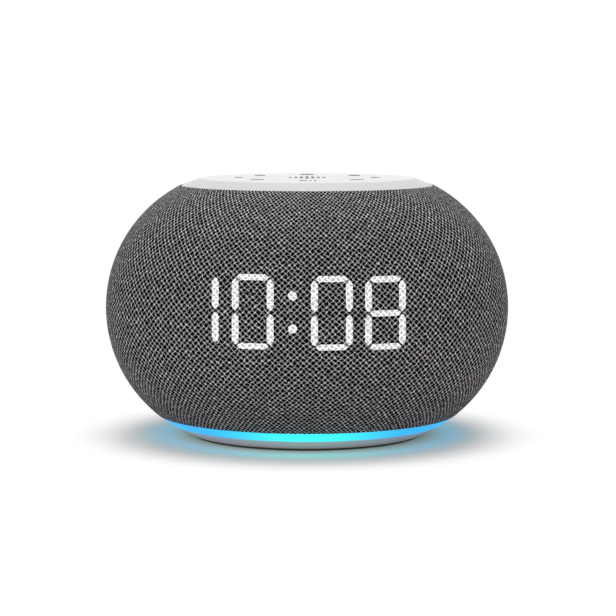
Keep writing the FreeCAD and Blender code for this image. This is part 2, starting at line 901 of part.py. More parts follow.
def dust_cap():
    """A thin dome on the end of the coil."""
    low = coil_top + glue_gap
    radius = (coil_outer ** 2 + dome_height ** 2) / (2 * dome_height)
    middle = low + dome_height - radius
    inner = radius - cone_thickness
    quarter = math.pi / 2
    outer_points = bend(0, middle, radius, math.acos(coil_outer / radius), quarter, dome_bands)
    inner_points = bend(0, middle, inner, quarter, math.asin((low - middle) / inner), dome_bands)
    path = outer_points + inner_points
    return turned(joined(path + path[:1]))


def speaker_surround():
    """A flat foot on the lip of the cone, a half roll and a flat rim in the step of the basket."""
    high = surround_low + surround_thickness
    under = bend(roll_centre, surround_low, roll_radius - surround_thickness, math.pi, 0, roll_bands)
    lift = math.asin(surround_thickness / roll_radius)
    over = bend(roll_centre, surround_low, roll_radius, lift, math.pi - lift, roll_bands)
    path = [V(cone_lip_inner, 0, surround_low)] + under
    path += [V(surround_rim, 0, surround_low), V(surround_rim, 0, high)]
    path += over + [V(cone_lip_inner, 0, high)]
    return turned(joined(path + path[:1]))


def speaker_spider():
    low = basket_back + spider_rise
    outer = basket_throat_radius - basket_wall - seat_gap
    return tube(outer, coil_outer + glue_gap, low, low + spider_thickness)


def speaker_gasket():
    hole = speaker_screw_radius + through_clear
    holes = [rod(hole, flange_front - cut_over, speaker_seat + cut_over, *place)
             for place in speaker_screw_places()]
    return tube(flange_radius, rim_step_radius, flange_front, speaker_seat).cut(holes)


def speaker_screws():
    reach = flange_thickness + gasket_thickness + speaker_screw_reach - glue_gap
    return [moved(screw(speaker_screw_head_radius, speaker_screw_head, speaker_screw_radius, reach),
                  x, y, flange_back) for x, y in speaker_screw_places()]


# Light ring, pan and foot

def light_ring():
    """A clear band that carries on the bulge of the side between the pan and the sleeve."""
    gap = edge_gap / side_radius
    start = pan_edge_turn + gap
    end = sleeve_start - gap
    path = [on_side(side_radius, end), on_side(light_ring_inner, end), on_side(light_ring_inner, start),
            on_side(side_radius, start)]
    return turned([side_arc(side_radius, start, end)] + joined(path))


def ring_board():
    high = ring_board_height + ring_board_thickness
    return tube(ring_board_outer, ring_board_inner, ring_board_height, high)


def ring_leds():
    outer = ring_board_outer - ring_led_inset
    one = block((outer - ring_led_radial, outer), (-ring_led_width / 2, ring_led_width / 2),
                (ring_board_height - ring_led_height, ring_board_height))
    return around(one, ring_led_count)


def sector(radius, low, high, middle, spread):
    """A wedge of a disc about the upright axis."""
    wedge = Part.makeCylinder(radius, high - low, V(0, 0, low), up, spread)
    wedge.rotate(centre, up, middle - spread / 2)
    return wedge


def base_pan():
    lip = on_side(side_radius - pan_lip_depth, pan_edge_turn)
    inner = lip.x - pan_lip_width
    path = [on_side(side_radius, pan_edge_turn), lip, V(inner, 0, lip.z),
            V(inner - pan_wall_lean, 0, pan_top), V(0, 0, pan_top), V(0, 0, foot_clear),
            on_side(side_radius, pan_foot_turn)]
    body = turned([side_arc(side_radius, pan_foot_turn, pan_edge_turn)] + joined(path))
    well_outer = door_radius + door_lug_reach + well_wall
    adds = [rod(well_outer, pan_top - glue_gap, well_roof + well_wall)]
    cuts = [tube(foot_outer + seat_gap, foot_inner - seat_gap, foot_clear - cut_over, groove_roof)]
    pad_top = pan_top + base_pad_height
    head_top = groove_roof + base_screw_head + seat_gap
    for place in base_screw_places():
        adds.append(rod(base_pad_radius, pan_top - glue_gap, pad_top, *place))
        cuts.append(rod(base_screw_radius + through_clear, foot_clear, pad_top + cut_over, *place))
        cuts.append(rod(base_screw_head_radius + through_clear, foot_clear, head_top, *place))
    for i in range(ring_post_count):
        place = polar(ring_board_inner + ring_post_inset, 360 * (i + 0.5) / ring_post_count)
        adds.append(rod(ring_post_radius, pan_top - glue_gap, ring_board_height, *place))
    bore = main_screw_radius + pilot_clear
    bore_low = main_board_height - main_screw_reach
    for x, y in main_post_places():
        adds.append(rod(main_post_radius, pan_top - glue_gap, main_board_height, x, y))
        cuts.append(rod(bore, bore_low, main_board_height + cut_over, x, y))
    lug_low = door_high - door_lug_thickness - seat_gap
    lug_room = door_radius + door_lug_reach + slide_gap
    cuts.append(rod(door_radius + slide_gap, foot_clear - cut_over, well_floor))
    cuts.append(rod(lug_room, lug_low, well_floor))
    cuts.append(rod(cell_radius + cell_gap, well_floor - cut_over, well_roof))
    entry_spread = door_lug_angle + 2 * math.degrees(slide_gap / door_radius)
    for half_turn in (0, 180):
        entry = half_turn - door_entry_turn
        cuts.append(sector(lug_room, foot_clear - cut_over, well_floor, entry, entry_spread))
    return body.fuse(adds).cut(cuts).removeSplitter()


def foot_ring():
    return tube(foot_outer, foot_inner, 0, groove_roof)


def base_screws():
    low = groove_roof + base_screw_head + seat_gap
    reach = pan_top + base_pad_height - low + base_screw_reach
    return [moved(screw(base_screw_head_radius, base_screw_head, base_screw_radius, reach), x, y, low)
            for x, y in base_screw_places()]


def battery_door():
    disc = rod(door_radius, foot_clear, door_high)
    reach = door_radius + door_lug_reach
    lugs = [sector(reach, door_high - door_lug_thickness, door_high, half_turn, door_lug_angle)
            for half_turn in (0, 180)]
    slot = middle_block(2 * (door_radius - door_slot_margin), door_slot_width, foot_clear - cut_over,
                        foot_clear + door_slot_depth)
    return disc.fuse(lugs).cut(slot).removeSplitter()


def coin_cell():
    low = door_high + seat_gap
    return rod(cell_radius, low, low + cell_thickness)


def battery_clip():
    """A plate under the roof of the well with two fingers bent down on the cell."""
    low = door_high + seat_gap + cell_thickness + glue_gap
    plate = middle_block(clip_length, clip_width, well_roof - clip_thickness, well_roof)
    half = clip_length / 2
    fingers = []
    for side in (-1, 1):
        front = -clip_width / 2
        points = [V(side * half, front, well_roof), V(0, front, low + clip_thickness), V(0, front, low),
                  V(side * half, front, well_roof - clip_thickness)]
        fingers.append(Part.Face(Part.Wire(joined(points + points[:1]))).extrude(V(0, clip_width, 0)))
    return plate.fuse(fingers).removeSplitter()


# Main board

def main_post_places():
    return [(a * main_post_x, b * main_post_y) for a in (-1, 1) for b in (-1, 1)]


def main_board():
    high = main_board_height + board_thickness
    holes = [rod(main_screw_radius + through_clear, main_board_height - cut_over, high + cut_over, x, y)
             for x, y in main_post_places()]
    return middle_block(main_board_length, main_board_width, main_board_height, high).cut(holes)


def main_board_parts():
    """Processor, voice memory, amplifier, two capacitors and three lead sockets."""
    low = main_board_height + board_thickness
    chip_high = low + chip_height
    parts = [middle_block(processor_side, processor_side, low, chip_high),
             middle_block(voice_memory_length, voice_memory_width, low, chip_high, -part_pitch, 0),
             middle_block(amplifier_side, amplifier_side, low, chip_high, part_pitch, 0)]
    row = main_board_width / 2 - part_row_inset
    for side in (-1, 1):
        parts.append(rod(capacitor_radius, low, low + capacitor_height, side * capacitor_spacing / 2, row))
    for place in (-1, 0, 1):
        x = place * part_pitch
        parts.append(middle_block(socket_length, socket_width, low, low + socket_height, x, -row))
    return parts


def main_board_screws():
    screws = []
    reach = board_thickness + main_screw_reach - glue_gap
    for x, y in main_post_places():
        one = screw(main_screw_head_radius, main_screw_head, main_screw_radius, reach)
        one.rotate(centre, V(1, 0, 0), 180)
        screws.append(moved(one, x, y, main_board_height + board_thickness))
    return screws


# Power inlet

def power_jack():
    barrel = jack_rod(jack_barrel_radius, shell_outer - jack_length, shell_outer + glue_gap)
    flange = jack_rod(jack_flange_radius, shell_outer, side_radius)
    bore = jack_rod(jack_bore, side_radius - jack_bore_depth, side_radius + cut_over)
    return flange.fuse(barrel).cut(bore).removeSplitter()


def jack_pin():
    return jack_rod(jack_pin_radius, side_radius - jack_bore_depth, side_radius - jack_pin_short)


def jack_nut():
    """A six-sided nut on the barrel, against the spot face inside the rear shell."""
    seat = shell_inner - nut_seat_depth
    corners = [V(*polar(nut_flats / math.sqrt(3), 60 * i), 0) for i in range(6)]
    nut = Part.Face(Part.Wire(joined(corners + corners[:1]))).extrude(V(0, 0, nut_thickness))
    nut = nut.cut(rod(jack_barrel_radius + seat_gap, -cut_over, nut_thickness + cut_over))
    nut.rotate(centre, V(1, 0, 0), math.degrees(jack_turn) - 90)
    nut.translate(V(0, profile_centre, equator_height) + jack_axis * (seat - nut_thickness))
    return nut


# The pieces, each in its own node

ring = shell_ring()
save("fabric_sleeve", fabric_sleeve())
save("front_shell", front_shell(ring))
save("rear_shell", rear_shell(ring))
save("shell_screws", *shell_screws())
save("top_cover", top_cover())
save("cover_screws", *cover_screws())
for name, radius, x, y in key_places():
    save(name + "_key", key(radius, x, y))
    save(name + "_plunger", plunger(x, y))
save("switch_bodies", *[switch_body(x, y) for name, radius, x, y in key_places()])
save("key_board", key_board())
save("key_board_screws", *key_board_screws())
save("light_barrier", light_barrier())
for name, bars in figure_sizes():
    save(name, *light_pipes(bars))
save("display_board", display_board())
save("display_leds", *display_leds())
save("display_screws", *display_screws())
for build in (speaker_basket, speaker_magnet, voice_coil, speaker_cone, dust_cap, speaker_surround,
              speaker_spider, speaker_gasket):
    save(build.__name__, toward_rear(build(), speaker_height))
save("speaker_screws", *[toward_rear(one, speaker_height) for one in speaker_screws()])
save("light_ring", light_ring())
save("ring_board", ring_board())
save("ring_leds", *ring_leds())
save("base_pan", base_pan())
save("foot_ring", foot_ring())
save("base_screws", *base_screws())
save("battery_door", battery_door())
save("coin_cell", coin_cell())
save("battery_clip", battery_clip())
save("main_board", main_board())
save("main_board_parts", *main_board_parts())
save("main_board_screws", *main_board_screws())
save("power_jack", power_jack())
save("jack_pin", jack_pin())
save("jack_nut", jack_nut())
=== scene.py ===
import json
import math

import bpy
import numpy as np
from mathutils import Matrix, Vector


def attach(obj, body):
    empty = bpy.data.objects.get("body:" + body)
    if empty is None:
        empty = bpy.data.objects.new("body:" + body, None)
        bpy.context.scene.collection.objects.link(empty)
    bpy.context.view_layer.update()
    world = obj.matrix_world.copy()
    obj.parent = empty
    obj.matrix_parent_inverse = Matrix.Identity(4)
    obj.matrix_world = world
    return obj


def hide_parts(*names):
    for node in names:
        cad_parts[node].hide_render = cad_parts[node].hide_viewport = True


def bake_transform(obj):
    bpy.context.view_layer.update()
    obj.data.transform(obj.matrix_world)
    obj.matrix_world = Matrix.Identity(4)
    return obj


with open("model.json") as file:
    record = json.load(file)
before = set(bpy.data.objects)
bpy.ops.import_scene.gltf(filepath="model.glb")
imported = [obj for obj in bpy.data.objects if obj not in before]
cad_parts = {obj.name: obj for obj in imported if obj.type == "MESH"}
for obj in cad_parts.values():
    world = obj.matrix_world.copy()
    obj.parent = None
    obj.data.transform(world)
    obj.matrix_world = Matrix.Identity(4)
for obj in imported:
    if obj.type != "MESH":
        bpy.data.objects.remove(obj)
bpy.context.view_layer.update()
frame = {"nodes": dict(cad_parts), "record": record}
nodes = frame["nodes"]
mm = 0.001
print("frame loaded with", len(nodes), "nodes")


# Shader expressions

class Signal:  # a socket of a node tree; a sum or product of it adds Math nodes
    def __init__(self, tree, socket):
        self.tree = tree
        self.socket = socket

    def maths(self, operation, *others, clamp=False):
        step = self.tree.nodes.new("ShaderNodeMath")
        step.operation = operation
        step.use_clamp = clamp
        for place, value in zip(step.inputs, others):
            plug(self.tree, value, place)
        return Signal(self.tree, step.outputs[0])

    def __add__(self, other):
        return self.maths("ADD", self, other)

    def __radd__(self, other):
        return self.maths("ADD", other, self)

    def __sub__(self, other):
        return self.maths("SUBTRACT", self, other)

    def __rsub__(self, other):
        return self.maths("SUBTRACT", other, self)

    def __mul__(self, other):
        return self.maths("MULTIPLY", self, other)

    def __rmul__(self, other):
        return self.maths("MULTIPLY", other, self)

    def __truediv__(self, other):
        return self.maths("DIVIDE", self, other)

    def __rtruediv__(self, other):
        return self.maths("DIVIDE", other, self)

    def __gt__(self, other):
        return self.maths("GREATER_THAN", self, other)

    def __lt__(self, other):
        return self.maths("LESS_THAN", self, other)

    def __abs__(self):
        return self.maths("ABSOLUTE", self)

    def most(self, other):
        return self.maths("MAXIMUM", self, other)

    def floor(self):
        return self.maths("FLOOR", self)

    def part(self):
        return self.maths("FRACT", self)

    def root(self):
        return self.maths("SQRT", self)

    def cosine(self):
        return self.maths("COSINE", self)

    def held(self):  # kept between 0 and 1
        return self.maths("ADD", self, 0.0, clamp=True)


def plug(tree, value, place):  # links a signal, or sets a plain value
    if isinstance(value, Signal):
        tree.links.new(value.socket, place)
    elif hasattr(place.default_value, "__len__") and not hasattr(value, "__len__"):
        place.default_value = (value,) * len(place.default_value)
    elif hasattr(place.default_value, "__len__") and len(value) < len(place.default_value):
        place.default_value = (*value, 1.0)
    else:
        place.default_value = value


class Finish:  # a material under construction
    def __init__(self, name, tree=None):
        if tree is None:
            self.material = bpy.data.materials.new(name)
            self.material.use_nodes = True
            tree = self.material.node_tree
        self.tree = tree
        tree.nodes.clear()

    def node(self, kind, settings=None, values=None, output=0):  # any node: type, settings, then sockets
        made = self.tree.nodes.new(kind)
        for key, value in (settings or {}).items():
            if key == "stops":
                ramp = made.color_ramp.elements
                while len(ramp) < len(value):
                    ramp.new(0.5)
                for element, (place, colour) in zip(ramp, value):
                    element.position = place
                    element.color = (*colour, 1.0)
            else:
                setattr(made, key, value)
        for key, value in (values or {}).items():
            plug(self.tree, value, made.inputs[key])
        return Signal(self.tree, made.outputs[output]) if made.outputs else None

    def blend(self, factor, low, high):  # a colour between two colours
        made = self.tree.nodes.new("ShaderNodeMix")
        made.data_type = "RGBA"
        for place, value in ((0, factor), (6, low), (7, high)):
            plug(self.tree, value, made.inputs[place])
        return Signal(self.tree, made.outputs[2])

    def shade(self, colour, factor):  # a colour made darker or lighter by a value
        grey = self.node("ShaderNodeCombineColor", None, {"Red": factor, "Green": factor, "Blue": factor})
        made = self.tree.nodes.new("ShaderNodeMix")
        made.data_type = "RGBA"
        made.blend_type = "MULTIPLY"
        for place, value in ((0, 1.0), (6, colour), (7, grey)):
            plug(self.tree, value, made.inputs[place])
        return Signal(self.tree, made.outputs[2])

    def place(self):  # the piece's own coordinates in metres
        return self.node("ShaderNodeTexCoord", None, None, "Object")

    def axes(self, vector):
        made = self.tree.nodes.new("ShaderNodeSeparateXYZ")
        plug(self.tree, vector, made.inputs[0])
        return [Signal(self.tree, out) for out in made.outputs]

    def vector(self, x, y, z):
        return self.node("ShaderNodeCombineXYZ", None, {"X": x, "Y": y, "Z": z})

    def noise(self, vector, scale, detail=2.0, roughness=0.5):
        return self.node("ShaderNodeTexNoise", None,
                         {"Vector": vector, "Scale": scale, "Detail": detail, "Roughness": roughness}, "Fac")

    def ramp(self, factor, stops):
        return self.node("ShaderNodeValToRGB", {"stops": stops}, {"Fac": factor}, "Color")

    def rise(self, value, start, end):  # climbs smoothly from 0 at the start to 1 at the end
        return self.node("ShaderNodeMapRange", {"interpolation_type": "SMOOTHSTEP"},
                         {"Value": value, "From Min": start, "From Max": end})

    def bump(self, height, distance, strength):
        return self.node("ShaderNodeBump", None, {"Height": height, "Distance": distance, "Strength": strength})

    def surface(self, **values):  # closes the tree with a Principled shader
        sockets = {key.replace("_", " "): value for key, value in values.items()}
        shader = self.node("ShaderNodeBsdfPrincipled", None, sockets)
        self.node("ShaderNodeOutputMaterial", None, {"Surface": shader})
        return self.material


# Mesh work

def gridQuads(rows, columns, closed):  # four-sided faces between the points of a grid, row after row
    wide = columns if closed else columns - 1
    i, j = np.meshgrid(np.arange(rows - 1), np.arange(wide), indexing="ij")
    near, far = i * columns + j, i * columns + (j + 1) % columns
    return np.stack([near, far, far + columns, near + columns], axis=-1).reshape(-1, 4)


def addMesh(name, points, faces, smooth=True):  # puts arrays of points (metres) and four-sided faces into a mesh
    mesh = bpy.data.meshes.new(name)
    used, compact = np.unique(faces, return_inverse=True)
    compact = compact.reshape(faces.shape)
    mesh.vertices.add(len(used))
    mesh.vertices.foreach_set("co", points[used].astype(np.float32).ravel())
    mesh.loops.add(compact.size)
    mesh.loops.foreach_set("vertex_index", compact.astype(np.int32).ravel())
    mesh.polygons.add(len(compact))
    mesh.polygons.foreach_set("loop_start", np.arange(0, compact.size, faces.shape[1], dtype=np.int32))
    mesh.polygons.foreach_set("loop_total", np.full(len(compact), faces.shape[1], dtype=np.int32))
    mesh.update(calc_edges=True)
    mesh.validate()
    mesh.polygons.foreach_set("use_smooth", np.full(len(mesh.polygons), smooth))
    piece = bpy.data.objects.new(name, mesh)
    bpy.context.scene.collection.objects.link(piece)
    return piece


def addModifier(piece, kind, **settings):
    made = piece.modifiers.new(kind.title(), kind)
    for key, value in settings.items():
        setattr(made, key, value)


# The drum's side: one round bulge in section, turned about the upright axis

drum = {
    "bulgeRadius": 50.9 * mm,
    "bulgeCentre": 24.1 * mm,     # from the upright axis
    "equator": 47.8 * mm,
    "clothLow": 8.5 * mm,
    "clothHigh": 93.23 * mm,
}


# A point of the drum lies at the bulge's centre plus the radius times the cosine of its angle up the bulge, measured
# from the upright axis, and at the equator plus the radius times the sine; the turn about Z starts at the front.
def onDrum(turn, lift, radius):
    reach = drum["bulgeCentre"] + radius * np.cos(lift)
    return np.stack([reach * np.sin(turn), -reach * np.cos(turn), drum["equator"] + radius * np.sin(lift)], axis=-1)


def drumPlace(points):  # turn, angle up the bulge and distance from its centre, of points
    reach = np.hypot(points[..., 0], points[..., 1]) - drum["bulgeCentre"]
    rise = points[..., 2] - drum["equator"]
    return np.arctan2(points[..., 0], -points[..., 1]), np.arctan2(rise, reach), np.hypot(reach, rise)


# Cloth: a plain weave laid on the bias

cloth = {
    "cellsAround": 188,           # an even count, so that over and under meet at the rear
    "cellsUp": 48.5,
    "sideStretch": 0.13,          # how much wider the cells are at the sides than on average
    "sideRise": 0.15,             # how much taller they are there
    "threadHalf": 0.185,          # half a thread's width, of the distance between threads
    "threadBow": 0.32,            # how far a thread dips and rises, of its height
    "wander": 0.5,                # slow drift of the threads out of line, in cells
    "wanderScale": 0.22,
    "shake": 0.8,                 # quick drift, in cells
    "shakeScale": 1.3,
    "toneStep": 1.7,              # how fast the tone changes from thread to thread
    "toneRun": 0.35,              # and along a thread
    "strandScale": 4.0,
    "patchScale": (0.35, 0.9),    # around and up
    "toneShares": (0.36, 0.46, 0.18),  # of thread, strand and patch in the tone
    "holeHeight": 0.32,           # the cloth is open below this height
    "holeEdge": 0.18,
    "toneStops": (0.34, 0.5, 0.66),
    "dark": (0.30, 0.301, 0.303),
    "middle": (0.60, 0.601, 0.604),
    "light": (0.90, 0.90, 0.904),
    # painted shade: the dark inside of the drum, seen through the holes
    "hole": (0.0005, 0.0005, 0.0005),
    "paintedShadeLow": 0.19,             # painted shade and highlight: brightness deep in the weave, then what height and a crossing add
    "paintedShadeHeight": 0.50,
    "paintedCrossingHighlight": 0.88,
    "rough": 0.92,
    "gloss": 0.03,
    "threadHeight": 0.35 * mm,
    "bump": 0.5,
    "thickness": 0.6 * mm,
    "proud": 0.12 * mm,           # how far the threads stand out of the drum's smooth form
    "overhang": 0.40 * mm,        # how far the lower fold hangs over the ring of light
    "foldRadius": 0.15 * mm,
    "foldPoints": 6,
    "hemReach": 2.3 * mm,
    "hemPoints": 3,
    "columns": 288,
    "rows": 72,
    "windowHalf": 7,              # the window round the inlet, in cells of the mesh
    "windowRings": 5,
    "inletRadius": 6.55 * mm,
    "inletHeight": 20.0 * mm,
}


def liftAt(height, radius=drum["bulgeRadius"]):  # angle up the bulge of a height above the table
    return math.asin((height - drum["equator"]) / radius)


def weaveUv(piece):  # the weave's own map: cells round the drum and cells up the bulge, from each point's place
    mesh = piece.data
    lowLift, highLift = liftAt(drum["clothLow"]), liftAt(drum["clothHigh"])
    points = np.empty(len(mesh.vertices) * 3, np.float32)
    mesh.vertices.foreach_get("co", points)
    turn, lift, away = drumPlace(points.reshape(-1, 3))
    spread = 0.5 + (turn + cloth["sideStretch"] * np.sin(2 * turn) / 2) / math.tau
    rise = lift / (highLift - lowLift) * (1.0 - cloth["sideRise"] * np.sin(turn) ** 2)
    corner = np.empty(len(mesh.loops), np.int32)
    mesh.loops.foreach_get("vertex_index", corner)
    starts = np.empty(len(mesh.polygons), np.int32)
    mesh.polygons.foreach_get("loop_start", starts)
    u = (spread * cloth["cellsAround"])[corner]
    v = (rise * cloth["cellsUp"])[corner]
    least = np.minimum.reduceat(u, starts)
    most = np.maximum.reduceat(u, starts)
    sizes = np.diff(np.append(starts, len(u)))
    wraps = np.repeat(most - least > cloth["cellsAround"] / 2, sizes)
    u = np.where(wraps & (u < cloth["cellsAround"] / 2), u + cloth["cellsAround"], u)
    layer = mesh.uv_layers.new(name="weave")
    layer.data.foreach_set("uv", np.stack([u, v], axis=-1).astype(np.float32).ravel())


# Threads of one family run midway between the whole numbers of u + v, those of the other between those of u - v.
# Each is a half circle across, and a cosine along it bows it over and under the others. The third coordinate of a
# noise only keeps it apart from the other noises.
def weave(finish):  # gives the height, how near a crossing is, the tone, and how closed the cloth is
    u, v, flat = finish.axes(finish.node("ShaderNodeUVMap", {"uv_map": "weave"}))
    drift = finish.noise(finish.vector(u, v, 0.0), cloth["wanderScale"]) - 0.5
    sway = finish.noise(finish.vector(v, u, 7.0), cloth["wanderScale"]) - 0.5
    shake = finish.noise(finish.vector(u, v, 31.0), cloth["shakeScale"], 1.0) - 0.5
    tremble = finish.noise(finish.vector(v, u, 53.0), cloth["shakeScale"], 1.0) - 0.5
    p = u + v + drift * cloth["wander"] + shake * cloth["shake"]
    q = u - v + sway * cloth["wander"] + tremble * cloth["shake"]
    rounds = []
    for along in (p, q):
        away = abs(along.part() - 0.5) / cloth["threadHalf"]
        rounds.append((1.0 - away * away).most(0.0).root())
    swingP = ((q - 0.5 - p.floor()) * math.pi).cosine()
    swingQ = ((p - 0.5 - q.floor()) * math.pi).cosine()
    bow = cloth["threadBow"]
    heightP = rounds[0] * (1.0 - bow + swingP * bow)
    heightQ = rounds[1] * (1.0 - bow - swingQ * bow)
    onTop = heightP > heightQ
    height = heightP.most(heightQ)
    step, run, fine = cloth["toneStep"], cloth["toneRun"], cloth["strandScale"]
    patchAcross, patchUp = cloth["patchScale"]
    toneP = finish.noise(finish.vector(p.floor() * step, q * run, 0.0), 1.0, 2.0, 0.6)
    toneQ = finish.noise(finish.vector(q.floor() * step, p * run, 20.0), 1.0, 2.0, 0.6)
    thread = toneQ + (toneP - toneQ) * onTop
    strand = finish.noise(finish.vector(u * fine, v * fine, onTop * 4.0), 1.0)
    patch = finish.noise(finish.vector(u * patchAcross, v * patchUp, 3.0), 1.0, 2.0, 0.6)
    threadShare, strandShare, patchShare = cloth["toneShares"]
    tone = thread * threadShare + strand * strandShare + patch * patchShare
    closed = ((height - cloth["holeHeight"]) / cloth["holeEdge"]).held()
    return height, rounds[0] * rounds[1], tone, closed


def clothFinish():
    finish = Finish("heatherCloth")
    height, crossing, tone, closed = weave(finish)
    stops = list(zip(cloth["toneStops"], (cloth["dark"], cloth["middle"], cloth["light"])))
    colour = finish.ramp(tone, stops)
    # Painted shade and painted highlight: the threads are painted darker towards their edges and where they dip,
    # lighter on their crowns and at each crossing.
    colour = finish.shade(colour, cloth["paintedShadeLow"] + height * cloth["paintedShadeHeight"] + crossing * cloth["paintedCrossingHighlight"])
    # The holes are real openings of the weave; their near-black colour is painted shade, the dark inside seen through
    # them.
    colour = finish.blend(closed, cloth["hole"], colour)
    return finish.surface(Base_Color=colour, Roughness=cloth["rough"], Specular_IOR_Level=cloth["gloss"],
                          Normal=finish.bump(height, cloth["threadHeight"], cloth["bump"]))


heatherCloth = clothFinish()


# The profile runs from the lower hem's inner end straight outwards, round a quarter circle, up the whole side at one
# radius, round another quarter circle and straight inwards to the upper hem's end.
def clothProfile():  # gives angles and radii from the bulge's centre
    low, high = liftAt(drum["clothLow"]), liftAt(drum["clothHigh"])
    outer, fold = drum["bulgeRadius"] + cloth["proud"], cloth["foldRadius"]
    inner = outer - cloth["hemReach"]
    edge = low - cloth["overhang"] / outer
    bend = np.linspace(0.0, math.pi / 2, cloth["foldPoints"])[1:-1]
    foldLift = fold / outer
    bendRadius = outer - fold + fold * np.sin(bend)
    bendLift = foldLift * (1.0 - np.cos(bend))
    straight = np.linspace(inner, outer - fold, cloth["hemPoints"])
    lift = np.concatenate([np.linspace(low, edge, len(straight)), edge + bendLift,
                           np.linspace(edge + foldLift, high - foldLift, cloth["rows"]),
                           high - bendLift[::-1], np.full(len(straight), high)])
    radius = np.concatenate([straight, bendRadius, np.full(cloth["rows"], outer), bendRadius[::-1], straight[::-1]])
    return lift, radius


# The sleeve is the profile turned about the upright axis. A window of its mesh round the inlet is taken out and
# filled with rings that change evenly from the window's edge to a circle about the inlet's axis.
def clothSleeve():
    lift, radius = clothProfile()
    outer = drum["bulgeRadius"] + cloth["proud"]
    rows, columns = len(lift), cloth["columns"]
    turn = np.arange(columns) * math.tau / columns
    turnGrid, liftGrid = np.meshgrid(turn, lift)
    points = onDrum(turnGrid, liftGrid, radius[:, None]).reshape(-1, 3)
    faces = gridQuads(rows, columns, True)
    inletLift = liftAt(cloth["inletHeight"], outer)
    last = 2 * cloth["windowHalf"]
    firstRow = int(np.argmin(abs(lift - inletLift))) - cloth["windowHalf"]
    firstColumn = columns // 2 - cloth["windowHalf"]
    row, column = faces[:, 0] // columns - firstRow, faces[:, 0] % columns - firstColumn
    faces = faces[~((row >= 0) & (row < last) & (column >= 0) & (column < last))]
    step = np.arange(last)
    edgeColumn = np.concatenate([step, np.full(last, last), last - step, np.zeros(last, int)]) + firstColumn
    edgeRow = np.concatenate([np.zeros(last, int), step, np.full(last, last), last - step]) + firstRow
    edge = edgeRow * columns + edgeColumn
    edgeTurn, edgeLift = turn[edgeColumn], lift[edgeRow]
    axis = np.array([0.0, math.cos(inletLift), math.sin(inletLift)])
    start = np.array([0.0, drum["bulgeCentre"], drum["equator"]])
    side, upward = np.array([1.0, 0.0, 0.0]), np.array([0.0, -math.sin(inletLift), math.cos(inletLift)])
    offset = onDrum(edgeTurn, edgeLift, outer) - start
    angle = np.arctan2(offset @ upward, offset @ side)
    ring = cloth["inletRadius"] * (np.cos(angle)[:, None] * side + np.sin(angle)[:, None] * upward)
    reach = np.full(len(angle), outer)
    for attempt in range(6):  # slides each point of the circle along the inlet's axis until it is on the drum
        holeTurn, holeLift, away = drumPlace(start + ring + reach[:, None] * axis)
        reach = reach + outer - away
    holeTurn = holeTurn % math.tau
    share = np.linspace(0.0, 1.0, cloth["windowRings"])[:-1, None]
    ringTurn = holeTurn + (edgeTurn - holeTurn) * share
    ringLift = holeLift + (edgeLift - holeLift) * share
    ringPoints = onDrum(ringTurn, ringLift, outer).reshape(-1, 3)
    count, base = len(edge), len(points)
    index = np.concatenate([base + np.arange(len(share) * count), edge]).reshape(-1, count)
    after = np.roll(index, -1, axis=1)
    patch = np.stack([index[:-1], after[:-1], after[1:], index[1:]], axis=-1).reshape(-1, 4)
    piece = addMesh("clothSleeve", np.concatenate([points, ringPoints]), np.concatenate([faces, patch[:, ::-1]]))
    weaveUv(piece)
    addModifier(piece, "SOLIDIFY", thickness=cloth["thickness"], offset=-1.0, use_even_offset=True)
    piece.data.materials.append(heatherCloth)
    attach(piece, "housing")
    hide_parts("fabric_sleeve")


clothSleeve()
print("cloth sleeve made")


# Figures: bars and dots of light that shine through the cloth

figures = {
    "spacing": 12.1 * mm,
    "row": 11.8 * mm,
    "upright": 2.37 * mm,
    "level": 2.06 * mm,
    "gap": 0.60 * mm,             # from a bar's tip to the corner of the figure
    "tipLength": 0.62,            # of the bar's width
    "tipBlunt": 0.16,             # width at the very tip, of the full width
    "tipCurve": 1.55,
    "barPoints": (33, 7),         # along and across
    "half": (-37.68 * mm, 0.99, 53.30 * mm),  # across, share of the full size, height
    "hours": (-18.67 * mm, 1.0, 53.11 * mm),
    "colon": (-4.95 * mm, 1.0, 53.20 * mm),
    "tens": (8.55 * mm, 0.99, 52.77 * mm),
    "units": (27.10 * mm, 0.98, 52.45 * mm),
    "dotRadius": 1.55 * mm,
    "dotRise": 5.65 * mm,
    "dotPoints": (7, 32),         # from the middle outwards and around
    "proud": 0.17 * mm,
    "depth": 0.3 * mm,
    "white": (0.90, 0.90, 0.90),
    "speck": (0.37, 0.37, 0.375),
    "strength": 0.90,
}


def litFinish():
    finish = Finish("litCloth")
    height, crossing, tone, closed = weave(finish)
    colour = finish.blend(closed, figures["speck"], figures["white"])
    colour = finish.shade(colour, 0.90 + tone * 0.2)
    # painted shade: the glowing cloth's own colour is painted darker where its threads dip
    return finish.surface(Base_Color=finish.shade(cloth["middle"], 0.5 + height * 0.5), Roughness=0.9,
                          Emission_Color=colour, Emission_Strength=figures["strength"],
                          Normal=finish.bump(height, cloth["threadHeight"], 0.4))


def onCloth(x, z):  # the point of the drum's front at this x and z, from the circle of its section and of its plan
    radius = drum["bulgeRadius"] + figures["proud"]
    reach = drum["bulgeCentre"] + np.sqrt(radius ** 2 - (z - drum["equator"]) ** 2)
    return np.stack([x, -np.sqrt(reach ** 2 - x ** 2), z], axis=-1)


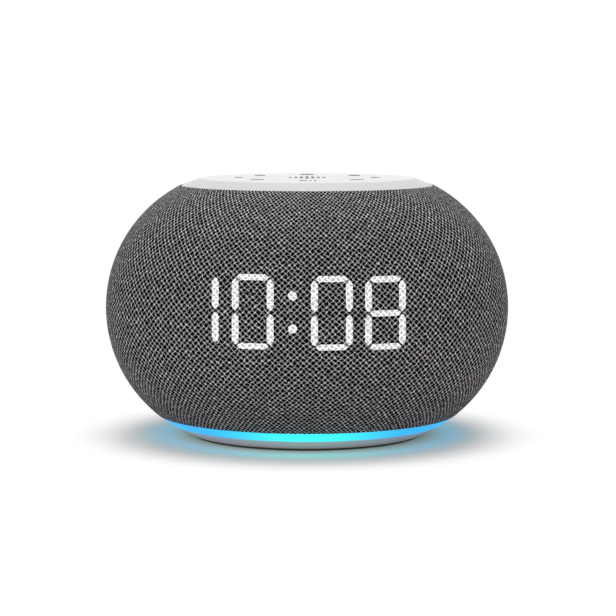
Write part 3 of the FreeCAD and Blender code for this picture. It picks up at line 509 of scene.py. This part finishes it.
# A bar is a grid along and across. Its half width is blunt at both ends and grows over each tip by one minus a power
# of the share of the tip that is still to come.
def barGrid(x, z, length, width, level):
    rows, columns = figures["barPoints"]
    along = np.sin(np.linspace(-1.0, 1.0, rows) * math.pi / 2)[:, None]
    across = np.linspace(-1.0, 1.0, columns)[None, :]
    tip = np.clip((1.0 - abs(along)) * length / 2 / (width * figures["tipLength"]), 0.0, 1.0)
    blunt = figures["tipBlunt"]
    halfWidth = width / 2 * (blunt + (1.0 - blunt) * (1.0 - (1.0 - tip) ** figures["tipCurve"]))
    run = along * length / 2 + across * 0.0
    side = across * halfWidth
    shiftX, shiftZ = (run, side) if level else (side, run)
    points = onCloth(x + shiftX, z + shiftZ).reshape(-1, 3)
    faces = gridQuads(rows, columns, False)
    return points, faces[:, ::-1] if level else faces


def dotGrid(x, z):  # a disc: even rings about its middle, the innermost one very small
    rings, around = figures["dotPoints"]
    ring = np.linspace(0.02, 1.0, rings)[:, None] * figures["dotRadius"]
    angle = np.arange(around)[None, :] * math.tau / around
    points = onCloth(x + ring * np.cos(angle), z + ring * np.sin(angle)).reshape(-1, 3)
    faces = gridQuads(rings, around, True)
    return points, faces[:, ::-1]


def figureBars(figure, lit):  # lit names the bars by row and side
    x, share, middle = figures[figure]
    half, row = figures["spacing"] * share / 2, figures["row"] * share
    flat, tall = 2 * half - 2 * figures["gap"], row - 2 * figures["gap"]
    places = {"low": (x, -row), "middle": (x, 0.0), "high": (x, row)}
    corners = {"leftLow": (x - half, -row / 2), "leftHigh": (x - half, row / 2),
               "rightLow": (x + half, -row / 2), "rightHigh": (x + half, row / 2)}
    bars = []
    for name in lit:
        if name in places:
            across, rise = places[name]
            bars.append(barGrid(across, middle + rise, flat, figures["level"], True))
        else:
            across, rise = corners[name]
            bars.append(barGrid(across, middle + rise, tall, figures["upright"], False))
    return bars


def joinGrids(parts):  # one array of points and one of faces from several
    counts = np.cumsum([0] + [len(points) for points, faces in parts])
    return (np.concatenate([points for points, faces in parts]),
            np.concatenate([faces + start for (points, faces), start in zip(parts, counts)]))


def figurePieces():
    dotX, share, dotHeight = figures["colon"]
    sides = ["leftLow", "leftHigh", "rightLow", "rightHigh"]
    zero = sides + ["low", "high"]
    shown = {
        "figureHalfLit": figureBars("half", ["rightLow", "rightHigh"]),
        "figureHoursLit": figureBars("hours", zero),
        "figureTensLit": figureBars("tens", zero),
        "figureUnitsLit": figureBars("units", zero + ["middle"]),
        "colonLit": [dotGrid(dotX, dotHeight + side * figures["dotRise"] * share) for side in (-1, 1)],
    }
    finish = litFinish()
    for name, parts in shown.items():
        piece = addMesh(name, *joinGrids(parts))
        weaveUv(piece)
        addModifier(piece, "SOLIDIFY", thickness=figures["depth"], offset=-1.0)
        piece.data.materials.append(finish)
        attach(piece, "housing")


figurePieces()
print("figures made")


# Signs printed on the keys, drawn with a pen of even width in millimetres from the key's middle

signs = {
    "top": 95.98 * mm,
    "proud": 0.18 * mm,
    "depth": 0.20 * mm,
    "pen": 0.85,
    "thinPen": 0.5,
    "talkPen": 1.15,
    "pausePen": 0.7,
    "tip": 0.6,                   # how far a stroke goes past its path's ends, of half the pen
    "ring": 25.4,                 # from the middle of the top to the middle of a key
    "grey": (0.20, 0.202, 0.205),
    "speckle": 4200.0,
}


def stroke(path, pen=None):  # a flat band of even width along a path, square to it at each point
    path = np.asarray(path, float)
    closed = np.allclose(path[0], path[-1])
    if closed:
        path = path[:-1]
        ahead = np.roll(path, -1, axis=0) - np.roll(path, 1, axis=0)
    else:
        ahead = np.gradient(path, axis=0)
    ahead /= np.linalg.norm(ahead, axis=1)[:, None]
    square = np.stack([-ahead[:, 1], ahead[:, 0]], axis=-1)
    half = (pen or signs["pen"]) / 2
    if not closed:
        past = half * signs["tip"]
        path = np.concatenate([[path[0] - ahead[0] * past], path[1:-1], [path[-1] + ahead[-1] * past]])
    band = np.stack([path + square * half, path - square * half])
    faces = gridQuads(2, len(path), closed)
    return band.reshape(-1, 2), faces[:, ::-1]


def filled(outline):  # a flat shape: its outline shrunk in rings towards its middle
    outline = np.asarray(outline, float)
    middle = outline.mean(axis=0)
    share = np.array([1.0, 0.6, 0.25, 0.02])[:, None, None]
    rings = middle + (outline - middle) * share
    faces = gridQuads(len(share), len(outline), True)
    turnArea = np.sum(outline[:, 0] * np.roll(outline[:, 1], -1) - np.roll(outline[:, 0], -1) * outline[:, 1])
    return rings.reshape(-1, 2), faces if turnArea > 0 else faces[:, ::-1]


def arc(radius, start, end, x=0.0, y=0.0, count=25):  # part of a circle about x and y, in degrees
    angle = np.radians(np.linspace(start, end, count))
    return np.stack([x + radius * np.cos(angle), y + radius * np.sin(angle)], axis=-1)


def line(*points, count=9):  # straight runs, each divided evenly
    runs = [np.linspace(a, b, count)[:-1] for a, b in zip(points, points[1:])]
    return np.concatenate(runs + [[points[-1]]])


def signShapes():
    thin, pause = signs["thinPen"], signs["pausePen"]
    triangle = np.array([(-1.0, -1.25), (1.15, 0.0), (-1.0, 1.25)])
    bars = [(-6.3, 3.0), (-4.2, 6.5), (-2.1, 11.0), (0.0, 16.0), (2.1, 11.0), (4.2, 6.5), (6.3, 3.0)]
    return {
        "talk": [stroke(line((x, -tall / 2), (x, tall / 2)), signs["talkPen"]) for x, tall in bars],
        "minus": [stroke(line((-1.3, 0.0), (1.3, 0.0)))],
        "plus": [stroke(line((-1.5, 0.0), (1.5, 0.0))), stroke(line((0.0, -1.5), (0.0, 1.5)))],
        "play": [filled(triangle * 1.25 + (-1.5, 0.0)), stroke(line((1.3, -1.5), (1.3, 1.5)), pause),
                 stroke(line((2.9, -1.5), (2.9, 1.5)), pause)],
        "next": [filled(triangle + (-1.1, 0.0)), filled(triangle + (1.0, 0.0)),
                 stroke(line((2.35, -1.25), (2.35, 1.25)), thin)],
        "previous": [filled(triangle * (-1, 1) + (1.1, 0.0)), filled(triangle * (-1, 1) + (-1.0, 0.0)),
                     stroke(line((-2.35, -1.25), (-2.35, 1.25)), thin)],
        "light": [stroke(arc(1.15, 0, 360))] + [
            stroke(line((1.8 * math.cos(a), 1.8 * math.sin(a)), (2.5 * math.cos(a), 2.5 * math.sin(a))))
            for a in np.radians(np.arange(0, 360, 45))],
        "alarm": [stroke(np.concatenate([line((-1.9, -1.1), (1.9, -1.1)), line((1.9, -1.1), (1.35, -0.4))[1:],
                                         arc(1.35, 0, 180, 0.0, 0.45)[1:], line((-1.35, -0.4), (-1.9, -1.1))[1:]]),
                         thin),
                  stroke(arc(0.5, 200, 340, 0.0, -1.35), thin)],
        "timer": [stroke(arc(1.9, 0, 360)), stroke(line((0.0, 0.0), (0.0, 1.15))),
                  stroke(line((0.0, 0.0), (0.85, -0.45)))],
    }


def signFinish():
    finish = Finish("signInk")
    place = finish.place()
    speckle = finish.noise(place, signs["speckle"])
    colour = finish.shade(signs["grey"], 0.86 + speckle * 0.28)
    return finish.surface(Base_Color=colour, Roughness=0.55 + speckle * 0.15)


def signPieces():
    finish = signFinish()
    ringNames = ["plus", "timer", "light", "alarm", "minus", "previous", "play", "next"]
    for name, parts in signShapes().items():
        x = y = 0.0
        if name in ringNames:
            angle = math.radians(45 * ringNames.index(name))
            x, y = signs["ring"] * math.cos(angle), signs["ring"] * math.sin(angle)
        flat, faces = joinGrids(parts)
        level = np.full(len(flat), signs["top"] + signs["proud"])
        points = np.stack([(flat[:, 0] + x) * mm, (flat[:, 1] + y) * mm, level], axis=-1)
        piece = addMesh(name + "Sign", points, faces, smooth=False)
        addModifier(piece, "SOLIDIFY", thickness=signs["depth"], offset=-1.0)
        piece.data.materials.append(finish)
        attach(piece, name + "_button")


signPieces()
print("signs made")


# Finishes of the CAD nodes

plastic = {
    "white_plastic": {"colour": (0.895, 0.895, 0.897), "rough": 0.5, "gloss": 0.25, "grain": 2600.0,
                      "depth": 0.012 * mm, "skirt": 39.6 * mm},
    "black_plastic": {"colour": (0.022, 0.022, 0.024), "rough": 0.5, "grain": 1500.0, "depth": 0.03 * mm},
    "grey_plastic": {"colour": (0.90, 0.82, 0.83), "rough": 0.5, "grain": 1800.0, "depth": 0.02 * mm},
    "switch_white": {"colour": (0.75, 0.75, 0.73), "rough": 0.45, "grain": 2000.0, "depth": 0.01 * mm},
    "rubber": {"colour": (0.12, 0.12, 0.123), "rough": 0.8, "grain": 900.0, "depth": 0.05 * mm},
    "light_pipe": {"colour": (0.86, 0.88, 0.90), "rough": 0.3, "grain": 2000.0, "depth": 0.01 * mm},
    "circuit_board": {"colour": (0.03, 0.16, 0.08), "rough": 0.4, "grain": 700.0, "depth": 0.02 * mm},
    "chip": {"colour": (0.03, 0.03, 0.033), "rough": 0.5, "grain": 1600.0, "depth": 0.02 * mm},
    "led": {"colour": (0.90, 0.84, 0.55), "rough": 0.35, "grain": 1600.0, "depth": 0.01 * mm},
    "paper": {"colour": (0.05, 0.05, 0.055), "rough": 0.85, "grain": 1100.0, "depth": 0.06 * mm},
    "woven": {"colour": (0.50, 0.36, 0.17), "rough": 0.8, "grain": 1300.0, "depth": 0.06 * mm},
}

moulding = {                      # what all the plastics share
    "shade": 0.965,
    "cloudScale": 38.0,
    "cloudShade": 0.05,
    "grainShade": 0.02,
    "skirtPaintedShade": 0.14,           # painted shade: how much darker the top's slope is painted than its plate
    "skirtEdge": (0.7 * mm, 0.9 * mm),  # how far the change reaches inwards and outwards
}

metal = {
    "steel": {"colour": (0.60, 0.60, 0.61), "rough": 0.28},
    "magnet": {"colour": (0.20, 0.20, 0.21), "rough": 0.5},
    "copper": {"colour": (0.72, 0.34, 0.16), "rough": 0.3},
}

brushing = {
    "across": 300.0,
    "upright": 5000.0,
    "shade": 0.28,
    "rough": 0.22,
    "depth": 0.01 * mm,
}


def plasticFinish(slotName, spec):
    finish = Finish(slotName)
    place = finish.place()
    grain = finish.noise(place, spec["grain"], 3.0, 0.6)
    cloud = finish.noise(place, moulding["cloudScale"])
    shade = moulding["shade"] + cloud * moulding["cloudShade"] + grain * moulding["grainShade"]
    if "skirt" in spec:  # painted shade: the top's slope outside this radius is painted darker than the plate, for the light that falls less on it
        x, y, z = finish.axes(place)
        inwards, outwards = moulding["skirtEdge"]
        slope = finish.rise((x * x + y * y).root(), spec["skirt"] - inwards, spec["skirt"] + outwards)
        shade = shade - slope * moulding["skirtPaintedShade"]
    colour = finish.shade(spec["colour"], shade)
    return finish.surface(Base_Color=colour, Roughness=spec["rough"] - 0.05 + grain * 0.1 + cloud * 0.04,
                          Specular_IOR_Level=spec.get("gloss", 0.5), Normal=finish.bump(grain, spec["depth"], 0.5))


def metalFinish(slotName, spec):
    finish = Finish(slotName)
    x, y, z = finish.axes(finish.place())
    across, upright = brushing["across"], brushing["upright"]
    brushed = finish.noise(finish.vector(x * across, y * across, z * upright), 1.0, 3.0)
    colour = finish.shade(spec["colour"], 1.0 + (brushed - 0.5) * brushing["shade"])
    return finish.surface(Base_Color=colour, Metallic=1.0, Roughness=spec["rough"] - 0.08 + brushed * brushing["rough"],
                          Normal=finish.bump(brushed, brushing["depth"], 0.3))


glow = {
    "front": (0.032, 0.85, 0.91),
    "side": (0.016, 0.35, 0.74),
    "turn": (0.05, 0.75),         # where the change starts and ends, as the sine of the turn
    "unlit": (0.02, 0.16, 0.19),
    "hazeScale": 160.0,
    "strength": 1.10,
}


def glowFinish():  # the colour runs from cyan at the front and rear to azure at the sides
    finish = Finish("clear_ring")
    x, y, z = finish.axes(finish.place())
    across = abs(x) / (x * x + y * y).root()
    colour = finish.blend(finish.rise(across, *glow["turn"]), glow["front"], glow["side"])
    haze = finish.noise(finish.place(), glow["hazeScale"])
    return finish.surface(Base_Color=glow["unlit"], Roughness=0.35 + haze * 0.1,
                          Emission_Color=finish.shade(colour, 0.95 + haze * 0.1), Emission_Strength=glow["strength"])


finishes = {name: plasticFinish(name, spec) for name, spec in plastic.items()}
finishes.update({name: metalFinish(name, spec) for name, spec in metal.items()})
finishes["clear_ring"] = glowFinish()
finishes["cloth"] = heatherCloth


def dressNodes():
    for part in frame["record"]["subparts"]:
        piece = nodes[part["node"]]
        piece.data.materials.clear()
        piece.data.materials.append(finishes[part["material_slot"]])


dressNodes()
print("nodes dressed")


# The loudspeaker's two flexible rings, each made in one fixed shape; on the real speaker they bend as the cone moves

flexible = {
    "axisHeight": 56.0 * mm,
    "columns": 96,
    "foot": 13.6 * mm,            # the surround, from its foot on the cone to its rim on the basket
    "cone": 14.85 * mm,
    "rollCentre": 16.1 * mm,
    "roll": 1.3 * mm,
    "basket": 17.3 * mm,
    "rim": 19.0 * mm,
    "rollPlace": 55.75 * mm,
    "surroundThick": 0.4 * mm,
    "coil": 6.15 * mm,            # the spider, from the coil to the basket
    "seat": 12.1 * mm,
    "spiderPlace": 44.85 * mm,
    "spiderLift": 0.95 * mm,
    "waves": 5,
    "waveHeight": 0.09 * mm,
    "spiderThick": 0.3 * mm,
    "flatPoints": 5,
    "bendPoints": 25,
    "wavePoints": 61,
}


def smoothStep(share):
    share = np.clip(share, 0.0, 1.0)
    return share * share * (3.0 - 2.0 * share)


def surroundLine():  # radius and place on the axis: a flat foot, a half circle and a flat rim
    start = math.asin(flexible["surroundThick"] / 2 / flexible["roll"])
    bend = np.linspace(math.pi - start, start, flexible["bendPoints"])
    radius = flexible["rollCentre"] + flexible["roll"] * np.cos(bend)
    along = flexible["rollPlace"] + flexible["roll"] * np.sin(bend)
    foot = np.linspace(flexible["foot"], radius[0], flexible["flatPoints"])[:-1]
    rim = np.linspace(radius[-1], flexible["rim"], flexible["flatPoints"])[1:]
    radius = np.concatenate([foot, radius, rim])
    return radius, np.concatenate([np.full(len(foot), along[0]), along, np.full(len(rim), along[-1])])


def spiderLine():  # radius and place on the axis: a slope up to the coil with a row of small waves on it
    share = np.linspace(0.0, 1.0, flexible["wavePoints"])
    radius = flexible["coil"] + (flexible["seat"] - flexible["coil"]) * share
    wave = np.sin(share * flexible["waves"] * math.tau) * np.sin(share * math.pi) ** 0.5
    slope = flexible["spiderPlace"] + flexible["spiderLift"] * smoothStep(1.0 - share)
    return radius, slope + flexible["waveHeight"] * wave


# The line is thickened square to itself on both sides into a closed loop, which is turned about the loudspeaker's axis.
def flexibleRing(name, node, slotName, profile, thick):
    radius, along = profile
    ahead = np.stack([np.gradient(radius), np.gradient(along)], axis=-1)
    ahead /= np.linalg.norm(ahead, axis=1)[:, None]
    square = np.stack([-ahead[:, 1], ahead[:, 0]], axis=-1) * thick / 2
    centre = np.stack([radius, along], axis=-1)
    loop = np.concatenate([centre + square, (centre - square)[::-1]])
    turn = np.arange(flexible["columns"]) * math.tau / flexible["columns"]
    reach, place = loop[:, :1], loop[:, 1:]
    height = flexible["axisHeight"] + reach * np.sin(turn)
    points = np.stack([reach * np.cos(turn), place + 0.0 * turn, height], axis=-1)
    faces = gridQuads(len(loop) + 1, flexible["columns"], True) % (len(loop) * flexible["columns"])
    piece = addMesh(name, points.reshape(-1, 3), faces)
    piece.data.materials.append(finishes[slotName])
    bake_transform(piece)
    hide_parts(node)


flexibleRing("surroundRoll", "speaker_surround", "rubber", surroundLine(), flexible["surroundThick"])
flexibleRing("spiderDisc", "speaker_spider", "woven", spiderLine(), flexible["spiderThick"])
print("loudspeaker rings made")


# Floor, light and camera

studio = {
    "skyLow": 0.30,
    "skyHigh": 0.66,
    "sideFall": 0.42,             # how much darker the sky is at the sides
    "rightFall": 0.16,
    "frontLamp": {"place": (-0.25, -1.3, 0.7), "size": 0.9, "power": 2.75},
    "topLamp": {"place": (0.05, 0.35, 0.9), "size": 0.7, "power": 3.6},
    "lampAim": (0.0, 0.0, 0.05),
    "floorHalf": 3.0,
    "shadeStart": 0.050,          # the floor turns plain white between these distances from the middle
    "shadeEnd": 0.091,
    "spill": (0.070, 0.15, 0.125),  # painted light: the ring's light on the floor close by, painted on as a glow of the floor
    "spillStart": 0.050,
    "spillEnd": 0.074,
    "floorColour": (0.80, 0.80, 0.80),
    "floorBounce": (0.97, 0.89, 0.89),
    "cameraDistance": 0.856,
    "cameraRise": 5.84,           # degrees above level
    "lens": 133.4,
    "sensor": 36.0,
    "target": (0.00036, 0.0, 0.04712),
}


def seenStraight(finish):  # 1 where a camera, mirror or clear ray looks, 0 for the light on the object
    path = finish.tree.nodes.new("ShaderNodeLightPath")
    camera, glossy, clear = (Signal(finish.tree, path.outputs[name])
                             for name in ("Is Camera Ray", "Is Glossy Ray", "Is Transmission Ray"))
    return camera.most(glossy).most(clear)


def addFloor():
    half = studio["floorHalf"]
    corners = np.array([(-half, -half, 0.0), (half, -half, 0.0), (half, half, 0.0), (-half, half, 0.0)])
    floor = addMesh("studioFloor", corners, np.array([[0, 1, 2, 3]]), smooth=False)
    finish = Finish("studioFloorPaint")
    x, y, z = finish.axes(finish.place())
    away = (x * x + y * y).root()
    fade = finish.rise(away, studio["shadeStart"], studio["shadeEnd"])
    seen = seenStraight(finish)
    colour = finish.blend(seen, studio["floorBounce"], studio["floorColour"])
    paint = finish.node("ShaderNodeBsdfDiffuse", None, {"Color": colour})
    # painted light: a cyan glow painted onto the floor near the base, for the ring's light there
    near = finish.rise(away, studio["spillEnd"], studio["spillStart"])
    spill = finish.node("ShaderNodeEmission", None, {"Color": studio["spill"], "Strength": near * seen})
    lit = finish.node("ShaderNodeAddShader", None, {0: paint, 1: spill})
    white = finish.node("ShaderNodeEmission", None, {"Color": (1.0, 1.0, 1.0)})
    both = finish.node("ShaderNodeMixShader", None, {0: fade * seen, 1: lit, 2: white})
    finish.node("ShaderNodeOutputMaterial", None, {"Surface": both})
    floor.data.materials.append(finish.material)


def addWorld():
    world = bpy.data.worlds.new("studioWorld")
    world.use_nodes = True
    finish = Finish("studioWorld", world.node_tree)
    seen = seenStraight(finish)
    x, y, z = finish.axes(finish.node("ShaderNodeTexCoord", None, None, "Generated"))
    lit = studio["skyLow"] + z.held() * (studio["skyHigh"] - studio["skyLow"])
    lit = lit * (1.0 - x * x * studio["sideFall"] - x * studio["rightFall"])
    strength = lit + seen * (1.0 - lit)
    sky = finish.node("ShaderNodeBackground", None, {"Color": (1.0, 1.0, 1.0), "Strength": strength})
    finish.node("ShaderNodeOutputWorld", None, {"Surface": sky})
    bpy.context.scene.world = world


def addLamp(name):
    spec = studio[name]
    lamp = bpy.data.lights.new(name, "AREA")
    lamp.shape = "DISK"
    lamp.size = spec["size"]
    lamp.energy = spec["power"]
    holder = bpy.data.objects.new(name, lamp)
    holder.location = spec["place"]
    holder.rotation_euler = (Vector(studio["lampAim"]) - Vector(spec["place"])).to_track_quat("-Z", "Y").to_euler()
    bpy.context.scene.collection.objects.link(holder)


def addCamera():
    rise = math.radians(studio["cameraRise"])
    back = Vector((0.0, -math.cos(rise), math.sin(rise)))
    data = bpy.data.cameras.new("photoView")
    data.lens = studio["lens"]
    data.sensor_width = studio["sensor"]
    data.clip_start = 0.01
    data.clip_end = 50.0
    holder = bpy.data.objects.new("photoView", data)
    holder.location = Vector(studio["target"]) + back * studio["cameraDistance"]
    holder.rotation_euler = (-back).to_track_quat("-Z", "Y").to_euler()
    bpy.context.scene.collection.objects.link(holder)
    bpy.context.scene.camera = holder


addFloor()
addWorld()
addLamp("frontLamp")
addLamp("topLamp")
addCamera()
bpy.context.scene.view_settings.view_transform = "Standard"
print("studio made")
